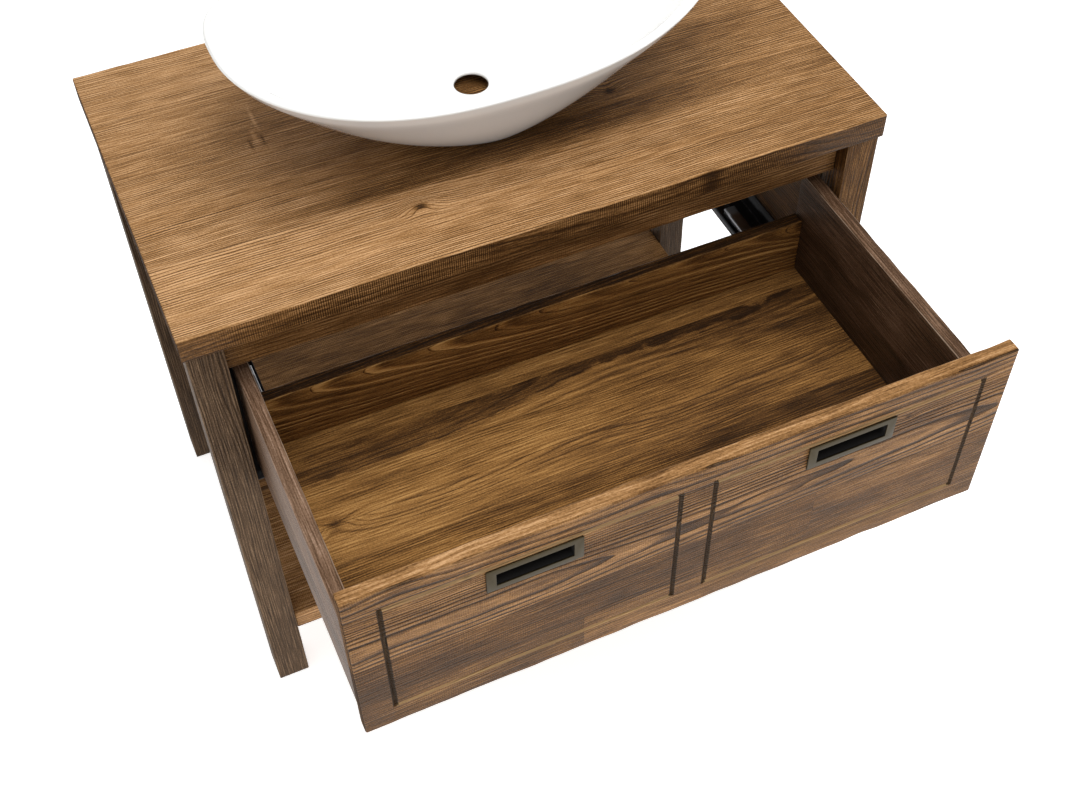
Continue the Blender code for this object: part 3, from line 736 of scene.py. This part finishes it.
def make_drawer_front():
    low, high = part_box("drawer_front")
    z_low = low.z + PANEL_UP[0]
    z_high = low.z + PANEL_UP[1]
    boards = [
        Board(low.z, low.z - 0.15, 0.06, 0.0034, 0.35, line=0.4, wild=0.2, joint=-0.131),
        Board(low.z + 0.0625, low.z - 0.08, 0.09, 0.0042, 0.25, line=0.35, wild=0.2, joint=0.157),
        Board(low.z + 0.1305, low.z + 0.168, 0.04, 0.0036, 0.49, line=1.0, wild=0.12, lean=0.012),
        Board(low.z + 0.2285, low.z + 0.3, 0.03, 0.0078, 0.5, line=1.0, wild=0.42),
    ]
    marks = [
        (-0.335, low.z + 0.258, 0.015, 0.006, 0.12, 0.008),
        (-0.05, low.z + 0.258, 0.017, 0.0055, 0.12, 0.007),
        (-0.263, low.z + 0.227, 0.0045, 0.002, 0.55, 0.003),
        (0.262, low.z + 0.214, 0.004, 0.002, 0.5, 0.003),
    ]
    material = pine("drawer_front_pine", 0, 2, (low, high), low.y, boards, STAIN, marks=marks,
                    ribs=(0.05, 0.0), line_sharp=0.46, line_tone=-0.62, edge_line=0.3, relief=0.0019,
                    edge_tone=-0.18, wear_colour=(0.5, 0.34, 0.2),
                    grooves=((PANEL_NEAR, PANEL_FAR), z_low, z_high))
    front = solid("drawer_front_wood", board_shape(low, high, 0, FRONT_ROUNDING))
    for side, sign in SIDES:
        x_low, x_high = sorted((sign * PANEL_NEAR, sign * PANEL_FAR))
        cut(front, panel_groove(x_low, x_high, z_low, z_high, low.y))
        pull_low, pull_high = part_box("pull_" + side)
        middle = (pull_low + pull_high) / 2
        wide, tall = [size / 2 + PULL_WALL + PULL_GAP for size in PULL_MOUTH]
        cut(front, box_tool((middle.x - wide, low.y - 0.01, middle.z - tall),
                            (middle.x + wide, pull_high.y + PULL_GAP, middle.z + tall)))
    front.data.shade_smooth()
    front.data.set_sharp_from_angle(angle=math.radians(30))
    front.data.materials.clear()
    give(front, "drawer", material, "drawer_front")


def make_drawer_box():
    low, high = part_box("drawer_bottom")
    y = EDGE_Y
    boards = [
        Board(low.y, y - 0.46, 0.05, 0.0032, 0.56, line=0.45, wild=0.3, fade=-0.24),
        Board(y - 0.222, y - 0.33, 0.06, 0.0032, 0.52, line=0.55, wild=0.4, fade=-0.22),
        Board(y - 0.166, y - 0.09, 0.05, 0.0032, 0.7, line=0.55, wild=0.3, fade=-0.28),
        Board(y - 0.1085, y - 0.15, 0.04, 0.0034, 0.73, line=0.45, wild=0.4, fade=-0.3),
        Board(y - 0.0485, y + 0.006, 0.032, 0.011, 0.76, line=0.4, heart=0.06, lean=0.039, wild=0.05,
              fade=-0.36),
        Board(y + 0.0025, y - 0.11, 0.06, 0.0034, 0.62, line=0.45, wild=0.3, fade=-0.14),
    ]
    marks = [
        (-0.34, y - 0.108, 0.01, 0.006, 0.45, 0.008), (-0.322, y - 0.102, 0.02, 0.005, 0.2),
        (0.245, y - 0.03, 0.07, 0.012, 0.24), (0.33, y - 0.05, 0.05, 0.02, 0.16),
        (0.12, y - 0.19, 0.09, 0.009, 0.18), (-0.25, y - 0.075, 0.11, 0.012, 0.1),
        (0.2, y - 0.26, 0.05, 0.01, 0.16), (0.06, y - 0.24, 0.04, 0.006, 0.14),
        (0.04, y - 0.02, 0.045, 0.02, 0.0, 0.008),
    ]
    wood_board("drawer_bottom", "drawer", "drawer_box_pine", 0, 1, high.z, boards, GOLD_STAIN,
               BOTTOM_ROUNDING, marks=marks, ribs=(0.03, 0.0), wear=0.1)

    low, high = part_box("drawer_back")
    boards = [Board(low.z, low.z + 0.084, 0.072, 0.0056, 0.38, line=1.0, wild=0.2, lean=-0.06,
                    fade=-0.06)]
    # painted shade: edge_tone darkens the top edge, which lies in the worktop's shadow
    wood_board("drawer_back", "drawer", "drawer_box_pine", 0, 2, low.y, boards, GOLD_STAIN,
               BOX_ROUNDING, line_tone=0.8, sawtooth=0.46, streaky=0.08, blotchy=0.14, edge_tone=0.3,
               edge_line=0.2, wear=0.04)

    for side, sign in SIDES:
        node = "drawer_side_" + side
        low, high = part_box(node)
        inner = low.x if sign > 0 else high.x
        # painted shade: the right side gets lower tones than the left, for the shade on its inner face
        boards = [
            Board(low.z, low.z - 0.06, 0.06, 0.004, 0.24 - 0.08 * sign, line=0.6, wild=0.3),
            Board(low.z + 0.084, low.z + 0.23, 0.04, 0.0036, 0.27 - 0.08 * sign, line=0.6, wild=0.3),
        ]
        wood_board(node, "drawer", "drawer_box_pine", 1, 2, inner, boards, DUSKY_STAIN, BOX_ROUNDING,
                   line_tone=0.24, line_sharp=0.6, edge_tone=-0.12, wear=0.6,
                   wear_colour=(0.44, 0.32, 0.23))


# ======== basin
def basin_ring(half_length, half_width, power, height_at, segments):
    points = []
    for index in range(segments):
        angle = 2 * math.pi * index / segments
        c = math.cos(angle)
        s = math.sin(angle)
        points.append((half_length * math.copysign(abs(c) ** (2 / power), c),
                       half_width * math.copysign(abs(s) ** (2 / power), s), height_at(c * c)))
    return points


def make_basin(material):
    """The same loft as the solid, with more rings and a rounded rim and waste edge."""
    segments = 112
    half_length = (BASIN_HIGH.x - BASIN_LOW.x) / 2
    half_width = (BASIN_HIGH.y - BASIN_LOW.y) / 2

    def rim_height(share):
        return BASIN_HEIGHT + BASIN_END_RISE * share

    def outside(t):
        upright = BASIN_UPRIGHT * t ** 6 * (1 - t)
        length, width = BASIN_FOOT
        length += (half_length - length) * t ** BASIN_OPENING[0] * (1 + 0.6 * upright)
        width += (half_width - width) * t ** BASIN_OPENING[1] * (1 + upright)
        return basin_ring(length, width, 2.0 + (BASIN_RIM_POWER - 2.0) * t,
                          lambda e: rim_height(e) * t, segments)

    def inside(t):
        start = BASIN_HOLE + 0.004
        spread = t ** BASIN_OPENING[2]
        return basin_ring(start + (half_length - BASIN_RIM - start) * spread,
                          start + (half_width - BASIN_RIM - start) * spread,
                          2.0 + (BASIN_RIM_POWER - 2.0) * t,
                          lambda e: BASIN_FLOOR + (rim_height(e) - BASIN_FLOOR) * t, segments)

    outer, steps, inner = BASIN_RINGS
    rings = [outside((index / (outer - 1)) ** 1.6 * 0.95) for index in range(outer)]
    for index in range(steps + 1):
        turn = math.pi * index / steps
        inset = BASIN_RIM / 2 * (1 - math.cos(turn))
        lift = BASIN_RIM / 2 * math.sin(turn)
        rings.append(basin_ring(half_length - inset, half_width - inset, BASIN_RIM_POWER,
                                lambda e, lift=lift: rim_height(e) - BASIN_RIM / 2 + lift, segments))
    rings += [inside((1 - index / (inner - 1)) ** 1.7 * 0.955) for index in range(inner)]
    roof = BASIN_HOLLOW_HEIGHT
    waste = ((BASIN_HOLE + 0.0018, BASIN_FLOOR - 0.0004), (BASIN_HOLE + 0.0004, BASIN_FLOOR - 0.002),
             (BASIN_HOLE, BASIN_FLOOR - 0.0032), (BASIN_HOLE, roof + 0.0006),
             (BASIN_HOLE + 0.0006, roof), (BASIN_HOLLOW_RADIUS - 0.001, roof),
             (BASIN_HOLLOW_RADIUS, roof - 0.001), (BASIN_HOLLOW_RADIUS + BASIN_HOLLOW_DRAFT, 0.0))
    for radius, z in waste:
        rings.append(basin_ring(radius, radius, 2.0, lambda e, z=z: z, segments))
    shape = bmesh.new()
    rows = [[shape.verts.new(point) for point in ring] for ring in rings]
    skin(shape, rows + rows[:1])
    centre = Vector((0.0, (BASIN_LOW.y + BASIN_HIGH.y) / 2, BASIN_LOW.z))
    bmesh.ops.translate(shape, vec=centre, verts=shape.verts)
    give(solid("basin_glazed", shape), "cabinet", material, "basin")


# ======== hardware
def make_pulls(rim, inside):
    """Pressed pulls: a plate with rounded corners and a deep cup."""
    for side, _ in SIDES:
        node = "pull_" + side
        low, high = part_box(node)
        middle = (low + high) / 2
        shape = bmesh.new()
        add_box(shape, low, (high.x, FRONT_Y - PULL_GAP, high.z), 0.0009)
        plate = solid(node + "_pewter", shape)
        wide, tall = [size / 2 for size in PULL_MOUTH]
        cut(plate, box_tool((middle.x - wide, low.y - 0.01, middle.z - tall),
                            (middle.x + wide, FRONT_Y + 0.01, middle.z + tall)))
        cup = bmesh.new()
        front = FRONT_Y - 0.001
        half = PULL_WALL / 2
        add_box(cup, (middle.x - wide - half, front, middle.z - tall - half),
                (middle.x + wide + half, high.y - half, middle.z + tall + half))
        mouth = [f for f in cup.faces if f.calc_center_median().y < front + 1e-5]
        bmesh.ops.delete(cup, geom=mouth, context="FACES_ONLY")
        corners = [e for e in cup.edges if not e.is_boundary]
        bmesh.ops.bevel(cup, geom=corners, offset=0.003, segments=4, profile=0.5, affect="EDGES")
        inner = solid(node + "_cup", cup)
        wall = inner.modifiers.new("wall", "SOLIDIFY")
        wall.thickness = PULL_WALL * 0.9
        wall.offset = 0.0
        plate.data.materials.clear()
        give(plate, "drawer", rim, node)
        bevel = plate.modifiers.new("softened", "BEVEL")
        bevel.width = 0.0005
        bevel.segments = 2
        bevel.limit_method = "ANGLE"
        bevel.angle_limit = math.radians(60)
        bevel.harden_normals = True
        give(inner, "drawer", inside, node)


def rounded_profile(points, radius, steps=4):
    """Replaces the corners of a polyline with arcs."""
    result = [Vector(points[0])]
    for before, corner, after in zip(points, points[1:], points[2:]):
        before, corner, after = Vector(before), Vector(corner), Vector(after)
        first = before - corner
        last = after - corner
        reach = min(radius, first.length * 0.45, last.length * 0.45)
        start = corner + first.normalized() * reach
        end = corner + last.normalized() * reach
        for index in range(steps + 1):
            t = index / steps
            result.append((1 - t) ** 2 * start + 2 * (1 - t) * t * corner + t ** 2 * end)
    result.append(Vector(points[-1]))
    return result


def folded_sheet(name, profile, y_low, y_high, radius=0.0022):
    """Sheet steel folded along an (x, z) profile."""
    shape = bmesh.new()
    path = rounded_profile(profile, radius)
    count = max(2, int((y_high - y_low) / 0.02))
    rows = []
    for index in range(count + 1):
        y = y_low + (y_high - y_low) * index / count
        rows.append([shape.verts.new((point.x, y, point.y)) for point in path])
    skin(shape, rows, closed=False)
    obj = solid(name, shape)
    sheet = obj.modifiers.new("sheet", "SOLIDIFY")
    sheet.thickness = SHEET
    sheet.offset = 0.0
    return obj


def make_slides(steel, edge_steel, nylon):
    for side, sign in SIDES:
        node = f"slide_{side}_cabinet_member"
        low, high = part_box(node)
        near, far = (low.x, high.x) if sign > 0 else (high.x, low.x)
        half = SHEET / 2
        lip_x = near + sign * half
        wall_x = far - sign * half
        base_z = low.z + half
        bead_x = near + sign * 0.0265
        bead_z = base_z + 0.003
        profile = [(wall_x, high.z), (wall_x, base_z), (bead_x + sign * 0.003, base_z),
                   (bead_x + sign * 0.0015, bead_z), (bead_x - sign * 0.0015, bead_z),
                   (bead_x - sign * 0.003, base_z), (lip_x, base_z), (lip_x, base_z + 0.014 - half)]
        member = folded_sheet(node + "_steel", profile, low.y, high.y)
        give(member, "cabinet", steel, node)

        stages = (("middle", f"slide_{side}_middle", edge_steel), ("drawer", "drawer", steel))
        for stage, body, coat in stages:
            node = f"slide_{side}_{stage}_member"
            low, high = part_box(node)
            profile = [(low.x + half, low.z), (low.x + half, high.z - half),
                       (high.x - half, high.z - half), (high.x - half, low.z)]
            member = folded_sheet(node + "_steel", profile, low.y, high.y)
            give(member, body, coat, node)

        make_cage(side, nylon, edge_steel)
        make_clip(side, sign, nylon)


def make_cage(side, nylon, steel):
    """A nylon ladder that holds steel rollers between the slide's members."""
    node = f"slide_{side}_roller_cage"
    body = f"slide_{side}_cage"
    low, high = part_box(node)
    shape = bmesh.new()
    bar = 0.0018
    for x in (low.x, high.x - bar):
        add_box(shape, (x, low.y, low.z + 0.004), (x + bar, high.y, high.z - 0.004), 0.0004, 2)
    rollers = 7
    pitch = (high.y - low.y) / rollers
    for index in range(rollers + 1):
        y = min(max(low.y + pitch * index, low.y + bar / 2), high.y - bar / 2)
        add_box(shape, (low.x + bar * 0.8, y - bar / 2, low.z + 0.005),
                (high.x - bar * 0.8, y + bar / 2, high.z - 0.005), 0.0003, 2)
    give(solid(node + "_ladder", shape), body, nylon, node)
    shape = bmesh.new()
    radius = (high.z - low.z) / 2 - 0.0003
    for index in range(rollers):
        y = low.y + pitch * (index + 0.5)
        middle = ((low.x + high.x) / 2, y, (low.z + high.z) / 2)
        turn = Matrix.Translation(middle) @ Matrix.Rotation(math.pi / 2, 4, "Y")
        made = bmesh.ops.create_cone(shape, cap_ends=True, segments=24, radius1=radius, radius2=radius,
                                     depth=high.x - low.x - 2 * bar - 0.0008, matrix=turn)["verts"]
        rims = [e for e in {e for v in made for e in v.link_edges} if e.calc_face_angle(0.0) > 1.0]
        bmesh.ops.bevel(shape, geom=rims, offset=0.0005, segments=2, profile=0.5, affect="EDGES")
    give(solid(node + "_rollers", shape), body, steel, node)


def make_clip(side, sign, nylon):
    """A ribbed locking clip with a finger lever."""
    node = f"slide_{side}_locking_clip"
    low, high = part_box(node)
    shape = bmesh.new()
    roof = high.z - 0.0045
    add_box(shape, (low.x, low.y, roof), (high.x, high.y, high.z), 0.0008, 2)
    outer = (high.x - 0.008, high.x) if sign > 0 else (low.x, low.x + 0.008)
    add_box(shape, (outer[0], low.y, low.z), (outer[1], high.y, high.z - 0.0008), 0.0012)
    ribs = 5
    for index in range(ribs):
        y = low.y + 0.006 + (high.y - low.y - 0.03) * index / (ribs - 1)
        add_box(shape, (low.x + 0.001, y, low.z + 0.005), (high.x - 0.001, y + 0.0022, roof + 0.001),
                0.0005, 2)
    add_box(shape, (low.x + 0.003, high.y - 0.02, low.z + 0.001),
            (high.x - 0.003, high.y - 0.002, low.z + 0.0045), 0.0012)
    add_box(shape, (low.x + 0.006, high.y - 0.018, low.z + 0.004),
            (high.x - 0.006, high.y - 0.014, roof + 0.001), 0.0006, 2)
    give(solid(node + "_moulding", shape), "drawer", nylon, node)


def screw_mesh():
    """A pan-head screw along +Z with a cross recess, its seat at z = 0."""
    head, tall, shank, length = 0.0035, SCREW_HEAD, 0.0018, 0.014
    outline = [(0.0, tall)]
    outline += [(head * math.sin(a), tall * (0.25 + 0.75 * math.cos(a)))
                for a in (0.25, 0.5, 0.75, 1.0, 1.25, 1.5)]
    outline += [(head, 0.0), (shank, 0.0)]
    turns = 9
    for index in range(turns):
        z = -length * 0.85 * (index + 0.5) / turns
        outline += [(shank * 0.72, z + 0.0004), (shank, z), (shank * 0.72, z - 0.0004)]
    outline.append((0.0, -length))
    shape = bmesh.new()
    verts = [shape.verts.new((x, 0.0, z)) for x, z in outline]
    edges = [shape.edges.new(pair) for pair in zip(verts, verts[1:])]
    bmesh.ops.spin(shape, geom=verts + edges, cent=(0, 0, 0), axis=(0, 0, 1), dvec=(0, 0, 0),
                   angle=2 * math.pi, steps=28, use_merge=False, use_duplicate=False)
    bmesh.ops.remove_doubles(shape, verts=shape.verts, dist=0.00002)
    obj = solid("screw_blank", shape)
    for x, y in ((0.002, 0.00035), (0.00035, 0.002)):
        cut(obj, box_tool((-x, -y, tall - 0.0011), (x, y, tall + 0.001)))
    mesh = obj.data
    bpy.data.objects.remove(obj, do_unlink=True)
    mesh.shade_smooth()
    mesh.set_sharp_from_angle(angle=math.radians(40))
    return mesh


def make_screws(steel):
    """A top screw points up with its head at the bottom of its CAD node's box; the others point outwards
    with their heads at the box's inner side.
    """
    blank = screw_mesh()
    for node in sorted(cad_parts):
        if "screw" not in node:
            continue
        low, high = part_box(node)
        middle = (low + high) / 2
        if node.endswith("top_screw"):
            outward = Vector((0, 0, -1))
            seat = Vector((middle.x, middle.y, low.z + SCREW_HEAD))
        else:
            sign = 1 if middle.x > 0 else -1
            outward = Vector((-sign, 0, 0))
            inner = low.x if sign > 0 else high.x
            seat = Vector((inner + sign * SCREW_HEAD, middle.y, middle.z))
        mesh = blank.copy()
        mesh.transform(Matrix.Translation(seat) @ outward.to_track_quat("Z", "Y").to_matrix().to_4x4())
        mesh.materials.clear()
        give(link(node + "_zinc", mesh), "cabinet", steel, node)


def make_brackets(steel):
    half = SHEET / 2
    for side, sign in SIDES:
        for row in ("front", "rear"):
            node = f"worktop_bracket_{row}_{side}"
            low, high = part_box(node)
            wall_x, free_x = (high.x - half, low.x) if sign > 0 else (low.x + half, high.x)
            profile = [(wall_x, low.z), (wall_x, high.z - half), (free_x, high.z - half)]
            sheet = folded_sheet(node + "_zinc", profile, low.y, high.y, radius=0.003)
            give(sheet, "cabinet", steel, node)


# ======== stage
def make_stage():
    bpy.ops.mesh.primitive_plane_add(size=14.0, location=(0.0, 0.0, 0.0))
    floor = bpy.context.object
    floor.name = "studio_floor"
    material, graph, shader, place, _ = new_material("studio_floor")
    cloud = graph.noise(place, scale=3.0)
    colour = graph.mix(cloud, (0.93, 0.93, 0.93), (0.95, 0.95, 0.95))
    paint(graph, shader, colour, 0.9, Emission_Color=(1.0, 1.0, 1.0), Emission_Strength=FLOOR_GLOW)
    floor.data.materials.append(material)

    world = bpy.data.worlds.new("studio")
    world.use_nodes = True
    backdrop = world.node_tree.nodes["Background"]
    backdrop.inputs["Color"].default_value = (1.0, 1.0, 1.0, 1.0)
    backdrop.inputs["Strength"].default_value = WORLD_STRENGTH
    bpy.context.scene.world = world

    softbox("top_softbox", (0.15, -0.25, 2.5), (0.0, -0.05, 0.5), 1.8, 1.6, TOP_LIGHT_POWER)
    softbox("back_softbox", (0.6, 2.3, 2.1), (0.0, 0.1, 0.7), 1.8, 1.4, BACK_LIGHT_POWER)
    softbox("front_softbox", (-0.2, -2.6, 0.9), (0.0, 0.0, 0.6), 2.2, 1.2, FRONT_LIGHT_POWER)


def softbox(name, place, target, width, height, power):
    light = bpy.data.lights.new(name, "AREA")
    light.shape = "RECTANGLE"
    light.size = width
    light.size_y = height
    light.energy = power
    obj = link(name, light)
    obj.location = place
    obj.rotation_euler = (Vector(target) - Vector(place)).to_track_quat("-Z", "Y").to_euler()


def make_camera():
    data = bpy.data.cameras.new("camera")
    data.lens = CAMERA_LENS
    data.sensor_width = 36.0
    data.sensor_fit = "HORIZONTAL"
    camera = link("camera", data)
    up = CAMERA_BACK.cross(CAMERA_RIGHT)
    turn = Matrix((CAMERA_RIGHT, up, CAMERA_BACK)).transposed().to_4x4()
    camera.matrix_world = Matrix.Translation(CAMERA_PLACE) @ turn
    bpy.context.scene.camera = camera
    bpy.context.scene.view_settings.view_transform = "Standard"


make_camera()
make_stage()
make_worktop()
make_legs()
make_rails()
make_aprons()
make_shelf()
make_drawer_front()
make_drawer_box()
make_basin(glaze())
make_pulls(pewter(), pull_inside())
BLACK_STEEL = coated_steel("slide_black", (0.01, 0.01, 0.011), (0.03, 0.03, 0.033), 0.34, 0.5, 0.5)
GREY_STEEL = coated_steel("slide_grey", (0.16, 0.16, 0.17), (0.3, 0.3, 0.31), 0.34, 1.0, 0.3)
ZINC = coated_steel("zinc_plate", (0.36, 0.36, 0.37), (0.55, 0.55, 0.56), 0.36, 1.0, 0.2)
make_slides(BLACK_STEEL, GREY_STEEL, moulded_nylon())
make_screws(ZINC)
make_brackets(ZINC)
